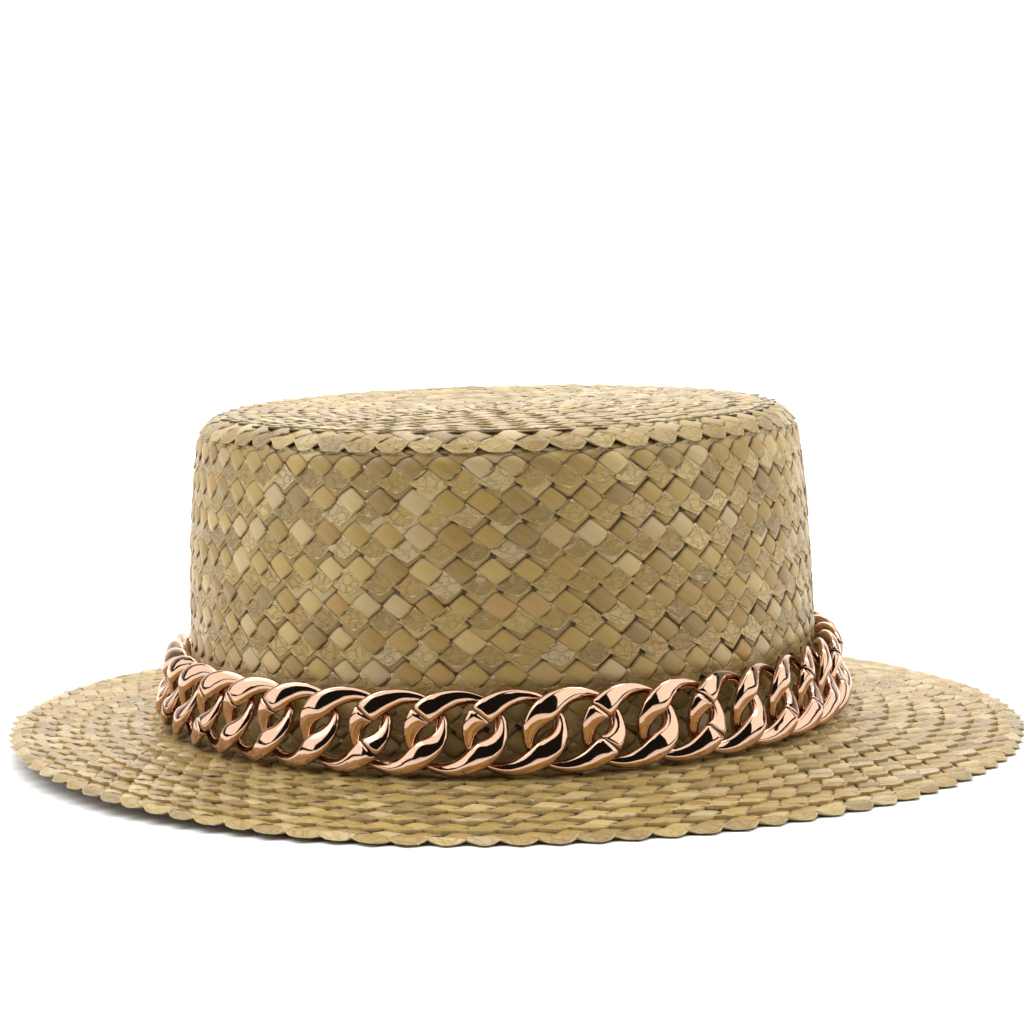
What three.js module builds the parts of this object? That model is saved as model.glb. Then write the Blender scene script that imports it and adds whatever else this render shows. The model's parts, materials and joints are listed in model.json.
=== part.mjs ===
// A straw boater with a curb chain for a hatband.
// Its tip, side wall and brim are sewn from one flat wheat-straw braid, laid in rounds that overlap like
// shingles. The chain is loose: its links interlock, lean on the foot of the crown and stand on the brim.
// Millimetres, +Z up, the front of the hat towards -Y. The origin is under the middle of the brim, on the
// surface that the hat rests on. Seen from above the hat is an oval, longer from front to back.

import * as THREE from 'three';

// Crown: an oval wall that leans in a little near the top
const crownHalfWidth = 88;
const crownHalfDepth = 98.5;
const crownHeight = 92;
const crownLean = 4;
const crownLeanPower = 3;

// Braid: the wall it makes where rounds overlap, and how far a round stands proud of the one it covers
const strawWall = 2.4;
const roundStep = 1;
const sideRounds = 9;
const tipRounds = 10;

// Tip: its last round slopes down over the shoulder
const tipDroop = 2.8;

// Brim: it falls a little from the crown's foot to its flat outer round, and is wider on one side
const brimWidth = 53;
const brimRoundWidth = 7;
const brimFall = 5.5;
const brimShift = 3.5;

// The brim's left side is bent up: from a reach just past the chain outwards, and most at the far left
const brimLift = 5;
const brimLiftStart = 12;
const brimLiftSpan = 0.9;
const brimLiftPower = 1.5;

// Chain: each link is an oval ring bent like a saddle, so that it passes over one neighbour and under the other
const linkCount = 42;
const linkLength = 26.4;
const linkHeight = 21.6;
const linkWireWidth = 4.4;
const linkCrescent = 1.9;
const linkWireThickness = 3;
const linkSaddle = 2.05;
const chainLeanAngle = THREE.MathUtils.degToRad(12);
const chainStart = 0.2;

// Fits: the gap left where one piece rests on another
const seamGap = 0.3;

// Facets round the ovals, and along and around a link's wire
const ovalFacets = 40;
const linkFacets = 12;
const wireFacets = 6;

const straw = { color: '#cdb487', roughness: 0.55, metalness: 0 };
const roseGold = { color: '#e0a78a', roughness: 0.12, metalness: 1 };

// The crown stands off the middle of the brim, because the brim is wider on one side
const crownX = -brimShift;

const sideFoot = brimFall + strawWall + seamGap;
const sideTop = crownHeight - tipDroop - strawWall - seamGap;

function piece(name, geometry, finish) {
  const mesh = new THREE.Mesh(geometry, new THREE.MeshStandardMaterial(finish));
  mesh.name = name;
  return mesh;
}

// Turns a closed outline of [reach, height] points into an oval ring or disc.
// A reach is measured outwards from the foot of the crown. It keeps the same length all round the oval,
// and past the crown's foot the rounds drift sideways by their share of the brim's shift. Past the chain the
// left side is bent up, over a span of the oval that is stated as a share of its half width.
function sweepRoundOval(outline) {
  const points = outline.map(([reach, height]) => new THREE.Vector2(crownHalfWidth + reach, height));
  const geometry = new THREE.LatheGeometry(points, ovalFacets);
  geometry.rotateX(Math.PI / 2);
  const position = geometry.attributes.position;
  for (let i = 0; i < position.count; i += 1) {
    const radius = Math.hypot(position.getX(i), position.getY(i));
    const angle = geometry.attributes.uv.getX(i) * 2 * Math.PI;
    const drift = (brimShift * Math.max(0, radius - crownHalfWidth)) / brimWidth;
    const halfDepth = radius + crownHalfDepth - crownHalfWidth;
    const outwards = (radius - crownHalfWidth - brimLiftStart) / (brimWidth - brimLiftStart);
    const leftwards = 1 - (1 + Math.cos(angle)) / brimLiftSpan;
    const lift = brimLift * Math.max(0, outwards) * Math.max(0, leftwards) ** brimLiftPower;
    position.setZ(i, position.getZ(i) + lift);
    position.setX(i, crownX + drift + radius * Math.cos(angle));
    position.setY(i, halfDepth * Math.sin(angle));
  }
  return geometry;
}

function sideLean(height) {
  const share = (height - sideFoot) / (sideTop - sideFoot);
  return crownLean * share ** crownLeanPower;
}

// Side wall: each round hangs outside the one below it, so its lower edge stands proud
function crownSide() {
  const rise = (sideTop - sideFoot) / sideRounds;
  const outline = [];
  for (let round = 0; round < sideRounds; round += 1) {
    const low = sideFoot + round * rise;
    const high = low + rise;
    outline.push([-sideLean(low), low]);
    outline.push([-sideLean(high) - roundStep, high]);
  }
  for (const share of [1, 0.75, 0.5, 0]) {
    const height = sideFoot + share * (sideTop - sideFoot);
    outline.push([-sideLean(height) - strawWall, height]);
  }
  outline.push(outline[0]);
  return sweepRoundOval(outline);
}

// Tip: each round lies on the next one out, and the last round slopes down to rest on the side wall
function crownTip() {
  const edge = -crownLean - roundStep;
  const tipRadius = crownHalfWidth + edge;
  const spread = tipRadius / tipRounds;
  const shoulder = edge - spread;
  const outline = [[-crownHalfWidth, crownHeight - strawWall]];
  outline.push([shoulder, crownHeight - strawWall]);
  outline.push([edge, crownHeight - tipDroop - strawWall]);
  outline.push([edge, crownHeight - tipDroop]);
  for (let round = tipRounds - 1; round >= 0; round -= 1) {
    const inner = round * spread - crownHalfWidth;
    outline.push([inner, crownHeight - (round > 0 ? roundStep : 0)]);
    if (round > 0) {
      outline.push([inner, crownHeight]);
    }
  }
  return sweepRoundOval(outline);
}

// Height of the brim's underside: it falls from the crown's foot to the outer round, which is flat
function brimRise(reach) {
  const fallWidth = brimWidth - brimRoundWidth;
  return brimFall * Math.min(1, Math.max(0, 1 - reach / fallWidth));
}

// Brim: on top each round lies on the next one out, and the side wall stands on its inner edge.
// The rounds are counted in from the rim, and the wall covers part of the innermost one.
function brim() {
  const rounds = Math.ceil(brimWidth / brimRoundWidth);
  const outline = [[-strawWall, brimFall], [0, brimFall]];
  for (const reach of [brimLiftStart, brimWidth - brimRoundWidth, brimWidth]) {
    outline.push([reach, brimRise(reach)]);
  }
  for (let round = 0; round < rounds; round += 1) {
    const outer = brimWidth - round * brimRoundWidth;
    const inner = Math.max(0, outer - brimRoundWidth);
    outline.push([outer, brimRise(outer) + strawWall]);
    outline.push([inner, brimRise(inner) + strawWall - roundStep]);
  }
  outline.push([0, brimFall + strawWall], [-strawWall, brimFall + strawWall], outline[0]);
  return sweepRoundOval(outline);
}

// Link, lying in its own plane: x along the chain, y up, z away from the crown.
// The upper-left and lower-right arcs come forward as broad crescents, and the other two pass behind.
function linkGeometry() {
  const halfLength = (linkLength - linkWireWidth) / 2;
  const halfHeight = (linkHeight - linkWireWidth) / 2;
  const geometry = new THREE.TorusGeometry(halfLength, linkWireWidth / 2, wireFacets, linkFacets);
  const { position, uv } = geometry.attributes;
  for (let i = 0; i < position.count; i += 1) {
    const along = uv.getX(i) * 2 * Math.PI;
    const around = uv.getY(i) * 2 * Math.PI;
    const forward = -Math.sin(2 * along);
    const middle = new THREE.Vector2(halfLength * Math.cos(along), halfHeight * Math.sin(along));
    const outward = new THREE.Vector2(halfHeight * Math.cos(along), halfLength * Math.sin(along)).normalize();
    const across = ((linkWireWidth + linkCrescent * forward) / 2) * Math.cos(around);
    const inset = (linkCrescent * forward) / 2;
    middle.addScaledVector(outward, across - inset);
    const depth = linkSaddle * forward + (linkWireThickness / 2) * Math.sin(around);
    position.setXYZ(i, middle.x, middle.y, depth);
  }
  return geometry;
}

// Chain: the links' middles are evenly spaced on an oval round the crown's foot.
// The chain leans back, so its lower edge stands further out than its upper edge. Its distance from the
// crown and its height above the falling brim come from where the points of a leaning link lie.
function chain() {
  const links = new THREE.Group();
  const cosLean = Math.cos(chainLeanAngle);
  const sinLean = Math.sin(chainLeanAngle);
  const geometry = linkGeometry();
  const { position } = geometry.attributes;
  const profile = [];
  for (let i = 0; i < position.count; i += 1) {
    const y = position.getY(i);
    const z = position.getZ(i);
    profile.push({ out: z * cosLean - y * sinLean, rise: y * cosLean + z * sinLean });
  }
  const reach = seamGap + Math.max(...profile.map(({ out }) => -out));
  const height = strawWall + seamGap + Math.max(...profile.map(({ out, rise }) => brimRise(reach + out) - rise));
  const startAngle = -Math.PI / 2;
  const path = new THREE.EllipseCurve(
    crownX, 0, crownHalfWidth + reach, crownHalfDepth + reach, startAngle, startAngle + 2 * Math.PI,
  );
  path.arcLengthDivisions = 20 * linkCount;
  for (let i = 0; i < linkCount; i += 1) {
    const share = (i + chainStart) / linkCount;
    const place = path.getPointAt(share);
    const heading = path.getTangentAt(share);
    const along = new THREE.Vector3(heading.x, heading.y, 0);
    const away = new THREE.Vector3(heading.y * cosLean, -heading.x * cosLean, sinLean);
    const up = new THREE.Vector3().crossVectors(away, along);
    const link = piece(`link_${String(i + 1).padStart(2, '0')}`, geometry, roseGold);
    link.position.set(place.x, place.y, height);
    link.quaternion.setFromRotationMatrix(new THREE.Matrix4().makeBasis(along, up, away));
    links.add(link);
  }
  return links;
}

const hat = new THREE.Group();
hat.add(piece('crown_tip', crownTip(), straw));
hat.add(piece('crown_side', crownSide(), straw));
hat.add(piece('brim', brim(), straw));
hat.add(chain());

export default hat;
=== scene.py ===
import json
from math import atan2, copysign, cos, hypot, pi, radians, sin

import bmesh
import bpy
import numpy as np
from mathutils import Matrix, Vector

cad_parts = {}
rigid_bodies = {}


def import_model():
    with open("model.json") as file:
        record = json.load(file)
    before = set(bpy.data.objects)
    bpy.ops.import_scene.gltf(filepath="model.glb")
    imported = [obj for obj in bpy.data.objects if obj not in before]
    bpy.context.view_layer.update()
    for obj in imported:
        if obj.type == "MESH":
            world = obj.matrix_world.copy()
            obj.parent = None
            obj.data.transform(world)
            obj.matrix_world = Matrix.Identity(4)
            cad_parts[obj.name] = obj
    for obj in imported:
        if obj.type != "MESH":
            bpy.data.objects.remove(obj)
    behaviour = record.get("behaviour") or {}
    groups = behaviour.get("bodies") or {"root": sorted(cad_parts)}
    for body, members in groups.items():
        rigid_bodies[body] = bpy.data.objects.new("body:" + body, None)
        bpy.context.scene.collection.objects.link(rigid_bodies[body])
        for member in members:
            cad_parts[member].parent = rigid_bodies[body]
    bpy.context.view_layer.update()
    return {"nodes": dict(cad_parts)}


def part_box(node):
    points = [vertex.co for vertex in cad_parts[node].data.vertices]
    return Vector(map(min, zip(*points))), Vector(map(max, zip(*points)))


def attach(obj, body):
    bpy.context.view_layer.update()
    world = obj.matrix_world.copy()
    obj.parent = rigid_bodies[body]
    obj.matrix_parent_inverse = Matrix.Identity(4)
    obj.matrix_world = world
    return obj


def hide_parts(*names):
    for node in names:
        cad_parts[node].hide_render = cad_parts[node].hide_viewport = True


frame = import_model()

# Crown tip
# The flat top of a straw boater, where the spiral of sewn wheat-straw braid starts. Each round lies on the
# next one out, and the last one bends down over the shoulder onto the side wall.
mm = 0.001
dice = np.random.default_rng(11)

side_low, side_high = [Vector(corner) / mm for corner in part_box("crown_side")]
brim_low, brim_high = [Vector(corner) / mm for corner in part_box("brim")]
tip_low, tip_high = [Vector(corner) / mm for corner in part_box("crown_tip")]

straw_wall = 2.4
tip_rounds = 10
tip_radius = (tip_high.x - tip_low.x) / 2
tip_round = tip_radius / tip_rounds
tip_droop = tip_high.z - straw_wall - tip_low.z

# Sizes are in millimetres and turn into metres as a mesh is made. The hat is an oval seen from above, and
# every round of braid runs round it at a fixed reach, measured outwards from the crown's foot. Past the foot
# the rounds drift to the wider side of the brim, and the brim's left side is bent up.
crown_x = (side_low.x + side_high.x) / 2
half_width = (side_high.x - side_low.x) / 2
half_depth = (side_high.y - side_low.y) / 2
brim_width = (brim_high.x - brim_low.x) / 2 - half_width
brim_shift = (brim_low.x + brim_high.x) / 2 - crown_x
brim_lift = 5.0
brim_lift_start = 12.0
brim_lift_span = 0.9
brim_lift_power = 1.5


def oval(angle, reach, height):
    """Gives the points, in metres, at an angle round the hat, a reach and a height."""
    radius = half_width + reach
    drift = brim_shift * np.maximum(reach, 0) / brim_width
    x = crown_x + drift + radius * np.cos(angle)
    y = (radius + half_depth - half_width) * np.sin(angle)
    outwards = np.maximum(0, (reach - brim_lift_start) / (brim_width - brim_lift_start))
    leftwards = np.maximum(0, 1 - (1 + np.cos(angle)) / brim_lift_span)
    lift = brim_lift * outwards * leftwards ** brim_lift_power
    return np.stack(np.broadcast_arrays(x, y, height + lift), axis=-1) * mm


def walk_round(reach):
    """Gives the length of a round and a function from the way walked along it to the angle there."""
    angles = np.linspace(-pi / 2, 3 * pi / 2, 721)
    track = oval(angles, reach, 0.0) / mm
    steps = np.linalg.norm(np.diff(track, axis=0), axis=1)
    walked = np.concatenate([[0.0], np.cumsum(steps)])
    length = walked[-1]

    def angle_at(distance):
        turns = np.floor(distance / length)
        return np.interp(distance - turns * length, walked, angles) + turns * 2 * pi

    return length, angle_at


# The plait is made of split, flattened wheat straws that cross in a lattice of diamonds, and it repeats every
# 8.65 mm. In each repeat a plump straw slants down to the right, another crosses above it and slants up, and
# a third folds back at the edge of the plait, where it creases. Here s runs along the braid, t from its free
# edge towards the round that covers it, and h outwards. The bed is how deep the straws lie under the surface.
cell_pitch = 8.65
half_cell = cell_pitch / 2
row_drift = -1.1
round_middle = 4
straw_bed = 0.75
straw_step = 0.42
straw_thickness = 0.3


def firm(value, power):
    """Raises the size of a value to a power and keeps its sign."""
    return copysign(abs(value) ** power, value)


def half_sides(size, slants):
    """Gives the half sides of a diamond as arrows, from its lengths and their slants in degrees."""
    return [np.array([cos(radians(slant)), sin(radians(slant))]) * length / 2
            for length, slant in zip(size, slants)]


class Straw:
    """One straw of the repeat: a closed sheet, its points in s, t and h, where they lie on the straw, and the
    painted shade of its skirt and rims. A creased straw is crumpled by random heights of its points and keeps
    its facets."""

    def __init__(self, name, form, size, grid, painted_shade_share, crumple=0.0):
        bm = bmesh.new()
        bmesh.ops.create_grid(bm, x_segments=grid[0], y_segments=grid[1], size=1)
        rim = [edge for edge in bm.edges if edge.is_boundary]
        skirt = bmesh.ops.extrude_edge_only(bm, edges=rim)["geom"]
        lower = {item for item in skirt if isinstance(item, bmesh.types.BMVert)}
        lower_rim = [item for item in skirt if isinstance(item, bmesh.types.BMEdge)
                     and item.verts[0] in lower and item.verts[1] in lower]
        bmesh.ops.contextual_create(bm, geom=lower_rim)
        places = []
        painted_shades = []
        for vert in bm.verts:
            u, v = vert.co.x, vert.co.y
            s, t, h = form(u, v)
            rim_share = max(abs(u), abs(v))
            # Painted shade: the skirt, and the rim of a smooth straw, take the straw's share of painted shade
            # for the slits and dives.
            on_painted_shade_rim = rim_share > 0.999 and not crumple
            places.append((u * size[0] / 2, v * size[1] / 2, rim_share if crumple else abs(v)))
            painted_shades.append(painted_shade_share if vert in lower or on_painted_shade_rim else 0.0)
            vert.co = (s, t, min(h, 0) - straw_thickness if vert in lower else h)
        bmesh.ops.recalc_face_normals(bm, faces=bm.faces[:])
        for face in bm.faces:
            face.smooth = not crumple
        self.crumple = crumple
        self.mesh = bpy.data.meshes.new(name)
        bm.to_mesh(self.mesh)
        bm.free()
        self.points = np.array([tuple(vert.co) for vert in self.mesh.vertices])
        self.places = np.array(places)
        self.painted_shades = np.array(painted_shades)


def slanted(name, grid, centre, size, slants, low, dome, dives, painted_shade_share=1.0):
    """Makes a straw that lies along the first slant and is cut off by straws on the second. It is gently
    domed with round edges, and each end dives below the straw that crosses it there."""
    along, across = half_sides(size, slants)
    crowding_lengthwise, crowding_crosswise = 0.62, 0.5
    taper = 0.06
    round_share, flat_share = 0.6, 0.4
    sag = 0.1

    def form(u, v):
        u = firm(u, crowding_lengthwise)
        v = firm(v, crowding_crosswise)
        s, t = np.array(centre) + u * along + v * across * (1 - taper * u * u)
        section = round_share * (1 - v * v) + flat_share * (1 - abs(v) ** 6)
        dive = dives[0] if u < 0 else dives[1]
        return s, t, low + dome * section * (1 - sag * u * u) - dive * abs(u) ** 5

    return Straw(name, form, size, grid, painted_shade_share)


def folded(name, grid, centre, size, slants, low, fall, ridge, crumple):
    """Makes the straw that folds back at the edge of the braid: a flat diamond with a blunt lower corner,
    highest along the free edge, with a crease across it."""
    along, across = half_sides(size, slants)
    crowding = 0.8
    blunt_below, blunting = 0.35, 0.65
    sweep_below, sweep = 2.4, 0.32
    groove_share = 0.6

    def form(u, v):
        s, t = np.array(centre) + firm(u, crowding) * along + firm(v, crowding) * across
        if t < blunt_below:
            t = blunt_below + (t - blunt_below) * blunting
        s += sweep * max(0.0, sweep_below - t)
        upwards = (u - v + 2) / 4
        crest = max(0.0, 1 - 2.5 * abs(v + 0.25))
        groove = max(0.0, 1 - 2.5 * abs(u - 0.2)) * groove_share
        return s, t, low - fall * upwards + ridge * crest - ridge * groove

    # The folded straw's skirt takes half the painted shade.
    return Straw(name, form, size, grid, 0.5, crumple)


# Each straw's skirt and rims take painted shade: all of it, or the share given.
plump = slanted("plump", grid=(5, 4), centre=(0, 5.4), size=(6.7, 6.2), slants=(-38, 40),
                low=0.02, dome=0.9, dives=(0.2, 0.3))
crossing = slanted("crossing", grid=(4, 3), centre=(half_cell, 9.1), size=(6.8, 6.6), slants=(40, -38),
                   low=-0.05, dome=0.74, dives=(0.15, 0.05), painted_shade_share=0.9)
fold = folded("fold", grid=(4, 4), centre=(half_cell, 1.9), size=(6.4, 6.1), slants=(38, -38),
              low=0.42, fall=0.14, ridge=0.2, crumple=0.11)
sliver = slanted("sliver", grid=(3, 2), centre=(2.3, 3.9), size=(4.6, 0.9), slants=(39, -48),
                 low=0.45, dome=0.2, dives=(0.25, 0.25))
tail = slanted("tail", grid=(2, 2), centre=(0, 12.2), size=(7.2, 7.0), slants=(-38, 40),
               low=-0.08, dome=0.5, dives=(0.05, 0.05), painted_shade_share=0.35)
plump_back = slanted("plump_back", grid=(4, 3), centre=(0, 5.4), size=(6.8, 6.3), slants=(-38, 40),
                     low=0.05, dome=0.5, dives=(0.2, 0.2))
crossing_back = slanted("crossing_back", grid=(3, 2), centre=(half_cell, 9.0), size=(6.3, 6.1),
                        slants=(40, -38), low=0.0, dome=0.45, dives=(0.1, 0.1))
fold_back = folded("fold_back", grid=(3, 3), centre=(half_cell, 1.9), size=(6.3, 6.0), slants=(38, -38),
                   low=0.45, fall=0.2, ridge=0.08, crumple=0.05)
outer_straws = (plump, crossing, fold, sliver, tail)
inner_straws = (plump_back, crossing_back, fold_back)

# How far a straw strays from its place in the lattice, and how the plait wanders as it is sewn: the size of
# each wave, its length divided by two pi, and its shift from round to round.
turn_spread = 0.05
size_spread = 0.05
along_spread = 0.16
across_spread = 0.12
dome_spread = 0.08
height_spread = 0.05
wanderings = ((0.22, 23, 1.7), (0.15, 9.1, 1))


def add_piece(name, mesh):
    """Puts a mesh into the scene as a piece that rides on the hat."""
    piece = bpy.data.objects.new(name, mesh)
    bpy.context.scene.collection.objects.link(piece)
    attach(piece, "root")
    return piece


def lay_rounds(name, rounds, round_at, straws):
    """Lays the braid in a number of rounds. From the number of a round, round_at gives its middle reach and a
    function from t and h to the reach and height there."""
    bm = bmesh.new()
    points, places, tones, painted_shades, creases = [], [], [], [], []
    for number in range(rounds):
        middle, place = round_at(number)
        length, angle_at = walk_round(middle)
        count = round(length / cell_pitch)
        pitch = length / count
        starts = (np.arange(count) + 0.5) * pitch + number * row_drift
        wave = sum(size * np.sin(starts / stretch + shift * number) for size, stretch, shift in wanderings)
        for straw in straws:
            for _ in range(count):
                bm.from_mesh(straw.mesh)
            s, t, h = straw.points.T
            centre_s, centre_t = s.mean(), t.mean()
            turn = dice.normal(0, turn_spread, (count, 1))
            swell = dice.normal(1.0, size_spread, (count, 1))
            ds, dt = (s - centre_s) * swell, (t - centre_t) * swell
            stray_s = dice.normal(0, along_spread, (count, 1))
            stray_t = dice.normal(0, across_spread, (count, 1))
            s_here = centre_s + ds * np.cos(turn) - dt * np.sin(turn) + stray_s
            t_here = centre_t + ds * np.sin(turn) + dt * np.cos(turn) + stray_t
            h_here = h * dice.normal(1.0, dome_spread, (count, 1)) + dice.normal(0, height_spread, (count, 1))
            h_here = h_here + straw.crumple * dice.normal(0, 1, (count, len(h)))
            angle = angle_at(s_here * pitch / cell_pitch + starts[:, None])
            reach, height = place(t_here + wave[:, None], h_here)
            points.append(oval(angle, reach, height).reshape(-1, 3))
            shift = dice.uniform(0, 400, (count, 1, 3)) * (1, 1, 0)
            places.append((straw.places[None] + shift).reshape(-1, 3))
            tones.append(np.repeat(dice.uniform(0, 1, count), len(s)))
            painted_shades.append(np.tile(straw.painted_shades, count))
            creases.append(np.full(count * len(s), 1.0 if straw.crumple else 0.0))
    mesh = bpy.data.meshes.new(name)
    bm.to_mesh(mesh)
    bm.free()
    mesh.vertices.foreach_set("co", np.concatenate(points).astype(np.float32).ravel())
    straw_place = mesh.attributes.new("straw_place", "FLOAT_VECTOR", "POINT")
    straw_place.data.foreach_set("vector", np.concatenate(places).astype(np.float32).ravel())
    # The second of these attributes holds the painted shade of the slits and dives.
    for label, values in (("tone", tones), ("painted_shade", painted_shades), ("creased", creases)):
        attribute = mesh.attributes.new(label, "FLOAT", "POINT")
        attribute.data.foreach_set("value", np.concatenate(values).astype(np.float32))
    mesh.update()
    return add_piece(name, mesh)


def lay_backing(name, outline):
    """Turns a closed outline of reach and height round the hat: the plies of straw behind the outer ones."""
    bm = bmesh.new()
    ring = [bm.verts.new((half_width + reach, 0, height)) for reach, height in outline]
    edges = [bm.edges.new((a, b)) for a, b in zip(ring, ring[1:] + ring[:1])]
    bmesh.ops.spin(bm, geom=ring + edges, cent=(0, 0, 0), axis=(0, 0, 1), angle=2 * pi, steps=160,
                   use_merge=True)
    bmesh.ops.remove_doubles(bm, verts=bm.verts[:], dist=1e-4)
    for vert in bm.verts:
        radius = hypot(vert.co.x, vert.co.y)
        angle = atan2(vert.co.y, vert.co.x)
        vert.co = oval(angle, radius - half_width, vert.co.z)
    bmesh.ops.recalc_face_normals(bm, faces=bm.faces[:])
    mesh = bpy.data.meshes.new(name)
    bm.to_mesh(mesh)
    bm.free()
    return add_piece(name, mesh)


class Socket:
    """An output of a shader node that can be used in Python expressions."""

    def __init__(self, shader, output):
        self.shader = shader
        self.output = output

    def __add__(self, other):
        return self.shader.math("ADD", self, other)

    def __radd__(self, other):
        return self.shader.math("ADD", other, self)

    def __sub__(self, other):
        return self.shader.math("SUBTRACT", self, other)

    def __rsub__(self, other):
        return self.shader.math("SUBTRACT", other, self)

    def __mul__(self, other):
        return self.shader.math("MULTIPLY", self, other)

    def __rmul__(self, other):
        return self.shader.math("MULTIPLY", other, self)

    def __pow__(self, other):
        return self.shader.math("POWER", self, other)


class Shader:
    """A material with one Principled surface, and the nodes that feed it."""

    def __init__(self, name):
        self.material = bpy.data.materials.new(name)
        self.material.use_nodes = True
        self.tree = self.material.node_tree
        self.surface = self.tree.nodes["Principled BSDF"]

    def node(self, kind, inputs, output=0, **settings):
        """Adds a node of any type, with its settings and the values of its sockets."""
        node = self.tree.nodes.new(kind)
        for name, value in settings.items():
            setattr(node, name, value)
        for key, value in inputs.items():
            self.feed(node.inputs[key], value)
        return Socket(self, node.outputs[output])

    def feed(self, target, value):
        """Links a socket, or sets a plain value, on an input."""
        if isinstance(value, Socket):
            self.tree.links.new(value.output, target)
        else:
            target.default_value = value

    def set(self, **values):
        """Feeds the surface's own inputs, named with underscores for spaces."""
        for name, value in values.items():
            self.feed(self.surface.inputs[name.replace("_", " ")], value)

    def math(self, operation, *values):
        return self.node("ShaderNodeMath", dict(enumerate(values)), operation=operation)

    def mix(self, share, first, second, blend="MIX"):
        sockets = {0: share, 6: first, 7: second}
        return self.node("ShaderNodeMix", sockets, 2, data_type="RGBA", blend_type=blend)

    def ramp(self, share, stops):
        """Adds a colour ramp of (place, colour) stops."""
        ramp = self.node("ShaderNodeValToRGB", {0: share})
        elements = ramp.output.node.color_ramp.elements
        while len(elements) < len(stops):
            elements.new(0.5)
        for element, (place, colour) in zip(elements, stops):
            element.position = place
            element.color = (*colour, 1)
        return ramp

    def noise(self, vector, scale, detail=2.0, roughness=0.5):
        sockets = {"Vector": vector, "Scale": scale, "Detail": detail, "Roughness": roughness}
        return self.node("ShaderNodeTexNoise", sockets)

    def point(self, x, y, z):
        return self.node("ShaderNodeCombineXYZ", {"X": x, "Y": y, "Z": z})

    def bump(self, height, distance, strength=1.0):
        return self.node("ShaderNodeBump", {"Height": height, "Distance": distance, "Strength": strength})


straw_tones = [
    (0.0, (0.23, 0.145, 0.055)),
    (0.22, (0.34, 0.205, 0.048)),
    (0.45, (0.42, 0.27, 0.065)),
    (0.66, (0.50, 0.335, 0.09)),
    (0.82, (0.67, 0.50, 0.215)),
    (0.92, (0.57, 0.44, 0.25)),
    (1.0, (0.47, 0.255, 0.06)),
]
streak_colour = (0.56, 0.395, 0.12, 1)
hair_colour = (0.23, 0.14, 0.055, 1)
# Painted highlight: the pale colour of the straw edges, where they catch the light.
edge_highlight_colour = (0.72, 0.57, 0.29, 1)
# Painted highlight: the light colour of the creases in the folded straws.
crease_highlight_colour = (0.68, 0.53, 0.27, 1)
# Painted shade: the colour of the slits between straws and of the dives under them.
painted_shade_colour = (0.05, 0.028, 0.01, 1)


def straw_material(name, painted_lightness, creasing):
    """Dry wheat straw: fine fibres along each straw and a tone of its own for each straw, with painted
    highlights on its edges and creases and painted shade in its slits.
    """
    shader = Shader(name)
    place = shader.node("ShaderNodeAttribute", {}, "Vector", attribute_name="straw_place")
    split = shader.node("ShaderNodeSeparateXYZ", {"Vector": place}).output.node.outputs
    along, across, edge = [Socket(shader, output) for output in split]
    tone = shader.node("ShaderNodeAttribute", {}, "Fac", attribute_name="tone")
    painted_shade = shader.node("ShaderNodeAttribute", {}, "Fac", attribute_name="painted_shade")
    creased = shader.node("ShaderNodeAttribute", {}, "Fac", attribute_name="creased")
    layer = tone * 40
    fibres = shader.noise(shader.point(along * 0.16, across * 2.6, layer), 1.0, 3.0, 0.6)
    fine = shader.noise(shader.point(along * 0.3, across * 9.0, layer), 1.0, 2.0, 0.5)
    crumpled = shader.point(along + fibres * 2.5, across * 1.2 + fibres * 2.0, layer)
    cracks = shader.node("ShaderNodeTexVoronoi", {"Vector": crumpled, "Scale": 0.42}, "Distance",
                         feature="DISTANCE_TO_EDGE")
    lines = (1.0 - shader.math("MINIMUM", cracks * 13.0, 1.0)) * creased
    streaked = shader.mix(fibres * 0.9 - 0.2, shader.ramp(tone, straw_tones), streak_colour)
    shaded = shader.mix((1.0 - fine) * 0.3, streaked, hair_colour)
    # Painted highlight: each straw is made paler along its edges, where they catch the light.
    with_edge_highlight = shader.mix(edge ** 14.0 * 0.7, shaded, edge_highlight_colour)
    # Painted highlight: light lines along the crumple creases of the folded straws, which also raise the bump
    # below.
    with_crease_highlight = shader.mix(lines * creasing, with_edge_highlight, crease_highlight_colour)
    # Painted shade: dark brown where a straw dives under its neighbours and along the slits between straws.
    with_painted_shade = shader.mix(painted_shade ** 1.5 * 0.95, with_crease_highlight, painted_shade_colour)
    # Each part's lightness scales its copy of the straw: painted light and shade, set for how the lamps fall
    # on the tip, the side and the brim.
    shader.set(Base_Color=shader.mix(1.0, with_painted_shade, (painted_lightness, painted_lightness, painted_lightness, 1), "MULTIPLY"))
    shader.set(Roughness=0.29 + 0.16 * fine, IOR=1.46)
    shader.set(Normal=shader.bump(fibres * 0.7 + fine * 0.3 + lines * 3.0 * creasing, 0.00014, 0.9))
    return shader.material


def shaded_backing_material():
    """The plies of straw behind the outer ones, coloured as straw in shade: painted shade, seen only in the
    small holes.
    """
    shader = Shader("straw_backing_painted_shade")
    blotches = shader.noise(shader.node("ShaderNodeTexCoord", {}, "Object"), 900.0)
    # Painted shade: dark browns, as the straw looks in the shadow of the holes.
    shader.set(Base_Color=shader.mix(blotches, (0.10, 0.06, 0.025, 1), (0.20, 0.13, 0.055, 1)), Roughness=0.8)
    return shader.material


# The braid of the tip: its outer rounds count inwards from the edge, and so do the rounds of its underside.
# The lightness of the tip's, the side's and the brim's copies of the straw is painted light and shade.
flat_straw = straw_material("flat_straw", painted_lightness=0.84, creasing=0.3)
shaded_backing_straw = shaded_backing_material()
tip_eye = 0.3
shoulder_width = 3.2
shoulder_drop = 1.9
shoulder_power = 1.5
lining_bed = 0.75
lining_step = 0.35
lining_overlap = 1.2
lining_depth = 12.5
backing_depths = (1.75, 1.95)
backing_stop = 1.6
backing_dip = 0.25


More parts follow.
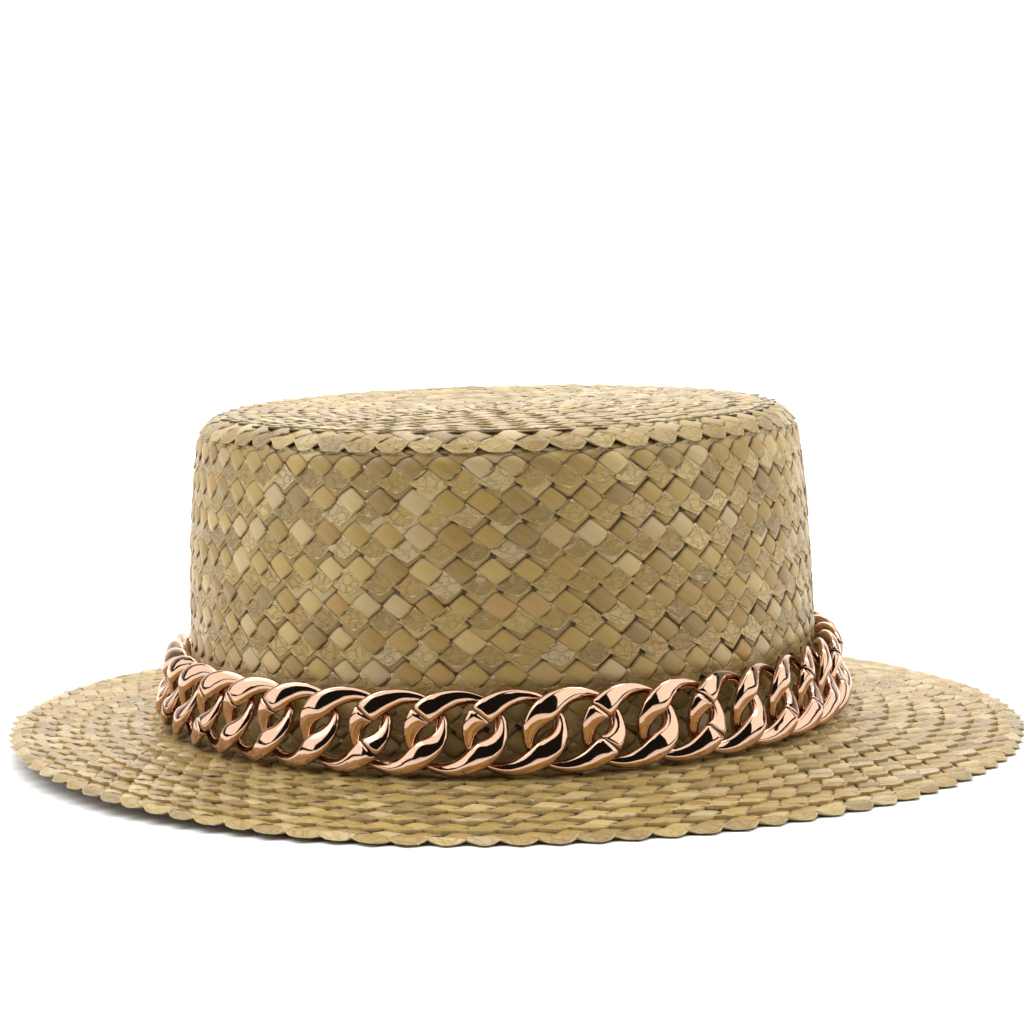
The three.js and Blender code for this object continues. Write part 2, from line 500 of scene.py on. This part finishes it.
def tip_outer(number):
    edge = tip_radius - number * tip_round
    squeeze = min(1.0, (edge - tip_eye) / 11.5)

    def place(t, h):
        reach = edge - np.where(t < 0, 0.5 * t, t) * squeeze - half_width
        height = tip_high.z - straw_bed - straw_step * t / tip_round
        if number > 0:
            return reach, height + h
        bend = np.clip(1 - t / shoulder_width, 0, 1)
        droop = tip_droop * np.clip(1 - t / tip_round, 0, 1) + shoulder_drop * bend ** shoulder_power
        return reach + 0.3 * (1 - bend) + 0.8 * h * bend, height + h * (1 - 0.8 * bend) - droop

    return edge - round_middle * squeeze - half_width, place


def tip_inner(number):
    edge = tip_radius - number * tip_round
    inner = max(tip_eye, edge - tip_round - lining_overlap)
    squeeze = (edge - 3.0 - inner) / lining_depth if number == 0 else 1.0

    def place(t, h):
        radius = inner + t * squeeze
        droop = tip_droop * np.clip((radius - edge + tip_round) / tip_round, 0, 1) if number == 0 else 0
        bed = tip_high.z - straw_wall + lining_bed + lining_step * t / tip_round
        return radius - half_width, bed - h - droop

    return inner + round_middle * squeeze - half_width, place


tip_top = lay_rounds("crown_tip_straw", tip_rounds, tip_outer, outer_straws)
tip_lining = lay_rounds("crown_tip_underside", tip_rounds, tip_inner, inner_straws)
tip_edge = tip_radius - half_width
tip_backing = lay_backing("crown_tip_backing", [
    (reach, tip_high.z - depth - dip)
    for depth, stops in zip(backing_depths[::-1], (1, -1))
    for reach, dip in ((-half_width, 0), (tip_edge - tip_round, 0),
                       (tip_edge - backing_stop, backing_dip + tip_droop))[::stops]
])
for piece, material in ((tip_top, flat_straw), (tip_lining, flat_straw), (tip_backing, shaded_backing_straw)):
    piece.data.materials.append(material)
    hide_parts("crown_tip")

# Crown side
# The upright wall goes on from the tip: nine rounds of braid, each hanging outside the one below it, so the
# folded edge of every round stands proud and throws a small shadow.
side_rounds = 9
side_round = (side_high.z - side_low.z) / side_rounds
round_step = 1.0
crown_lean = half_width - tip_radius - round_step
crown_lean_power = 3
covered_from = 7.5
tuck_height = 1.2
tuck_slope = 0.9
side_straw = straw_material("side_straw", painted_lightness=0.92, creasing=0.65)


def side_lean(height):
    """Tells how far the side wall has leaned in at a height."""
    share = np.clip((height - side_low.z) / (side_high.z - side_low.z), 0, 1)
    return crown_lean * share ** crown_lean_power


def side_outer(number):
    """The top round is shortened and tucked in under the tip."""
    low = side_low.z + number * side_round

    def place(t, h):
        if number == side_rounds - 1:
            t = np.where(t > covered_from, covered_from + (t - covered_from) * 0.3, t)
        height = low + t
        tucked = tuck_slope * np.maximum(0, height - side_high.z + tuck_height)
        return -side_lean(height) - straw_bed - straw_step * t / side_round + h - tucked, height

    return -side_lean(low + round_middle) - round_step, place


def side_inner(number):
    overlap = lining_overlap if number < side_rounds - 1 else 0
    high = side_low.z + (number + 1) * side_round + overlap
    squeeze = 0.75 if number == 0 else 1.0

    def place(t, h):
        height = high - t * squeeze
        return -side_lean(height) - straw_wall + lining_bed + lining_step * t / side_round - h, height

    return -side_lean(high) - straw_wall, place


side_wall = lay_rounds("crown_side_straw", side_rounds, side_outer, outer_straws)
side_lining = lay_rounds("crown_side_inside", side_rounds, side_inner, inner_straws)
side_heights = np.linspace(side_low.z - 1.8, side_high.z - 0.1, 10)
side_backing = lay_backing("crown_side_backing", [
    (-side_lean(height) - depth, height)
    for depth, heights in zip(backing_depths, (side_heights, side_heights[::-1]))
    for height in heights
])
for piece, material in ((side_wall, side_straw), (side_lining, side_straw), (side_backing, shaded_backing_straw)):
    piece.data.materials.append(material)
    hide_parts("crown_side")

# Brim
# The last rounds of the spiral make the brim. It falls a few millimetres from the crown's foot to its outer
# round, which lies flat. Each round lies on the next one out, and stands higher over it than on the crown.
seam_gap = 0.3
brim_round = 7.0
brim_rounds = int(np.ceil(brim_width / brim_round))
brim_fall = side_low.z - seam_gap - straw_wall
brim_step = 0.75
brim_covered_from = 8.5
rim_width = 2.8
rim_drop = 1.25
rim_power = 1.5
floor_gap = 0.03
fold_flat = folded("fold_flat", grid=(4, 4), centre=(half_cell, 1.8), size=(6.5, 5.9), slants=(34, -41),
                   low=0.74, fall=0.45, ridge=0.16, crumple=0.1)
brim_straws = (plump, crossing, fold_flat, tail)
brim_braid = straw_material("brim_braid", painted_lightness=0.93, creasing=0.3)


def brim_rise(reach):
    """Tells how high the brim's underside is: it falls from the crown's foot to the flat outer round."""
    return brim_fall * np.clip(1 - reach / (brim_width - brim_round), 0, 1)


def brim_outer(number):
    """The outermost round bends down at the rim."""
    edge = brim_width - number * brim_round

    def place(t, h):
        reach = edge - t
        reach = np.where(reach < 0, reach * 0.25, reach)
        step = brim_step * np.minimum(t, brim_covered_from) / brim_round
        height = brim_rise(reach) + straw_wall - straw_bed - step
        if number > 0:
            return reach, height + h
        bend = np.clip(1 - t / rim_width, 0, 1)
        height = height + h * (1 - 0.7 * bend) - rim_drop * bend ** rim_power
        return reach + 0.6 * h * bend, np.maximum(height, floor_gap)

    return edge - round_middle, place


def brim_inner(number):
    edge = brim_width - number * brim_round
    inner = max(-1.6, edge - brim_round - lining_overlap)
    squeeze = (edge - 2.4 - inner) / lining_depth if number == 0 else 1.0

    def place(t, h):
        reach = inner + t * squeeze
        height = brim_rise(reach) + 0.45 + 0.2 * t / brim_round - 0.6 * h
        return reach, np.maximum(height, floor_gap)

    return inner + round_middle, place


brim_top = lay_rounds("brim_straw", brim_rounds, brim_outer, brim_straws)
brim_lining = lay_rounds("brim_underside", brim_rounds, brim_inner, inner_straws)
brim_reaches = np.array([-1.9, 0, brim_lift_start, brim_width - brim_round, brim_width - backing_stop])
brim_backing = lay_backing("brim_backing", [
    (reach, brim_rise(reach) + rise)
    for rise, reaches in ((0.3, brim_reaches), (0.45, brim_reaches[::-1]))
    for reach in reaches
])
for piece, material in ((brim_top, brim_braid), (brim_lining, brim_braid), (brim_backing, shaded_backing_straw)):
    piece.data.materials.append(material)
    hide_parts("brim")

# Curb chain
# Forty-two moulded links, plated in mirror-bright rose gold. Each is an oval ring bent like a saddle: two
# arcs come forward as broad crescents, and a narrow slit shows where it was hung on its neighbour.
link_names = sorted(name for name in frame["nodes"] if name.startswith("link_"))
link_length = 26.4
link_height = 21.6
wire_width = 4.4
wire_crescent = 1.9
wire_thickness = 3.0
link_saddle = 2.05
chain_lean = radians(12)
slit_width = 0.55
upper_arc = radians(146)
lower_arc = radians(-34)
slit_below = (1, 3, 5, 6, 8, 11, 14, 15, 19, 22, 24, 28, 29, 33, 35, 39)
rose_gold_colour = (0.60, 0.385, 0.265, 1)


def link_mesh(name, place, slit):
    """Sweeps the wire round the link, open at the slit, bends it into its saddle and puts it in its place.
    The wire is first swept as a plain ring with a radius of 3 and a wire of radius 1."""
    half_long = (link_length - wire_width) / 2
    half_high = (link_height - wire_width) / 2
    opening = slit_width / half_long
    ring_radius = 3
    first_end = Matrix.Rotation(slit + opening / 2, 4, "Z") @ Matrix.Translation((ring_radius, 0, 0))
    bm = bmesh.new()
    bmesh.ops.create_circle(bm, segments=22, radius=1, matrix=first_end @ Matrix.Rotation(pi / 2, 4, "X"))
    bmesh.ops.spin(bm, geom=bm.verts[:] + bm.edges[:], cent=(0, 0, 0), axis=(0, 0, 1),
                   angle=2 * pi - opening, steps=56)
    bmesh.ops.holes_fill(bm, edges=[edge for edge in bm.edges if edge.is_boundary])
    for vert in bm.verts:
        along = atan2(vert.co.y, vert.co.x)
        around = atan2(vert.co.z, hypot(vert.co.x, vert.co.y) - ring_radius)
        forward = -sin(2 * along)
        outward = Vector((half_high * cos(along), half_long * sin(along), 0)).normalized()
        half_wire = (wire_width + wire_crescent * forward) / 2
        across = half_wire * firm(cos(around), 0.8) - wire_crescent * forward / 2
        depth = link_saddle * forward + wire_thickness / 2 * firm(sin(around), 0.9)
        middle = Vector((half_long * cos(along), half_high * sin(along), depth))
        vert.co = place @ ((middle + outward * across) * mm)
    bmesh.ops.recalc_face_normals(bm, faces=bm.faces[:])
    for face in bm.faces:
        face.smooth = len(face.verts) == 4
    mesh = bpy.data.meshes.new(name)
    bm.to_mesh(mesh)
    bm.free()
    return mesh


def rose_gold_material():
    """Bright plating over a moulded link: a mirror with the faintest waves in it."""
    shader = Shader("rose_gold")
    where = shader.node("ShaderNodeTexCoord", {}, "Object")
    waves = shader.noise(where, 110.0, 2.0)
    shader.set(Base_Color=rose_gold_colour, Metallic=1.0)
    shader.set(Roughness=0.05 + 0.04 * shader.noise(where, 700.0, 3.0))
    shader.set(Normal=shader.bump(waves, 0.0006, 0.6))
    return shader.material


rose_gold = rose_gold_material()
link_solids = [bpy.data.objects[name].data for name in link_names]
link_centres = [np.mean([vert.co for vert in solid.vertices], axis=0) for solid in link_solids]
for number, name in enumerate(link_names):
    heading = link_centres[(number + 1) % len(link_names)] - link_centres[number - 1]
    along = Vector((heading[0], heading[1], 0)).normalized()
    away = Vector((along.y * cos(chain_lean), -along.x * cos(chain_lean), sin(chain_lean)))
    up = away.cross(along)
    place = Matrix.Translation(link_centres[number]) @ Matrix((along, up, away)).transposed().to_4x4()
    slit = lower_arc if number in slit_below else upper_arc
    link = add_piece(f"chain_{name}", link_mesh(f"chain_{name}", place, slit))
    link.data.materials.append(rose_gold)
    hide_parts(name)

# Studio
# A white floor that runs up into a white backdrop, a large soft light above and one at each side. The space
# behind the camera is left dark, and shows as the black streaks in the chain.
floor_depth = 1.6
floor_front = -3.0
wall_height = 2.2
sweep_radius = 0.5
stage_width = 8.0
bm = bmesh.new()
start = bm.verts.new((-stage_width / 2, floor_depth, 0))
bmesh.ops.spin(bm, geom=[start], cent=(0, floor_depth, sweep_radius), axis=(1, 0, 0), angle=pi / 2, steps=24)
bm.verts.ensure_lookup_table()
wall_foot = max(bm.verts, key=lambda vert: vert.co.z)
wall_top = bm.verts.new((-stage_width / 2, wall_foot.co.y, wall_height))
front = bm.verts.new((-stage_width / 2, floor_front, 0))
bm.edges.new((wall_foot, wall_top))
bm.edges.new((start, front))
sheet = bmesh.ops.extrude_edge_only(bm, edges=bm.edges[:])["geom"]
bmesh.ops.translate(bm, verts=[item for item in sheet if isinstance(item, bmesh.types.BMVert)],
                    vec=(stage_width, 0, 0))
bmesh.ops.recalc_face_normals(bm, faces=bm.faces[:])
for face in bm.faces:
    face.smooth = True
floor_mesh = bpy.data.meshes.new("floor")
bm.to_mesh(floor_mesh)
bm.free()
floor = bpy.data.objects.new("floor", floor_mesh)
bpy.context.scene.collection.objects.link(floor)
paper = Shader("paper")
grain = paper.noise(paper.node("ShaderNodeTexCoord", {}, "Object"), 300.0)
paper.set(Base_Color=paper.mix(grain, (0.92, 0.92, 0.92, 1), (0.94, 0.94, 0.94, 1)), Roughness=0.9)
floor.data.materials.append(paper.material)


def soft_light(name, at, towards, size, power):
    """Hangs a rectangular softbox."""
    data = bpy.data.lights.new(name, "AREA")
    data.shape = "RECTANGLE"
    data.size, data.size_y = size
    data.energy = power
    light = bpy.data.objects.new(name, data)
    light.location = at
    light.rotation_euler = (Vector(towards) - Vector(at)).to_track_quat("-Z", "Y").to_euler()
    bpy.context.scene.collection.objects.link(light)


soft_light("overhead", at=(-0.2, 0.15, 1.5), towards=(0, 0, 0), size=(2.8, 2.2), power=32)
soft_light("left", at=(-1.5, -0.2, 0.95), towards=(0, 0, 0.05), size=(1.9, 1.8), power=18)
soft_light("right", at=(1.5, -0.2, 0.95), towards=(0, 0, 0.05), size=(1.9, 1.8), power=19)
soft_light("backdrop", at=(0, 0.5, 1.9), towards=(0, 2.1, 0.6), size=(3.0, 0.5), power=60)
world = bpy.data.worlds.new("studio")
world.use_nodes = True
world.node_tree.nodes["Background"].inputs["Color"].default_value = (1, 1, 1, 1)
world.node_tree.nodes["Background"].inputs["Strength"].default_value = 0.014
bpy.context.scene.world = world
bpy.context.scene.view_settings.view_transform = "Standard"

# Camera
# It stands in front of the hat, a little above the crown, and looks slightly down. It is rolled by a small
# angle, and its focal length is stated in pixels of a picture 1024 wide.
camera_distance = 0.7921
camera_height = 0.1478
camera_pitch = radians(6.23)
camera_roll = radians(1.40)
focal_pixels = 2823.4
picture_width = 1024
film_width = 36
camera_data = bpy.data.cameras.new("camera")
camera_data.lens = focal_pixels * film_width / picture_width
camera_data.clip_start = 0.01
camera = bpy.data.objects.new("camera", camera_data)
tilted = Matrix.Rotation(pi / 2 - camera_pitch, 4, "X") @ Matrix.Rotation(-camera_roll, 4, "Z")
camera.matrix_world = Matrix.Translation((0, -camera_distance, camera_height)) @ tilted
bpy.context.scene.collection.objects.link(camera)
bpy.context.scene.camera = camera
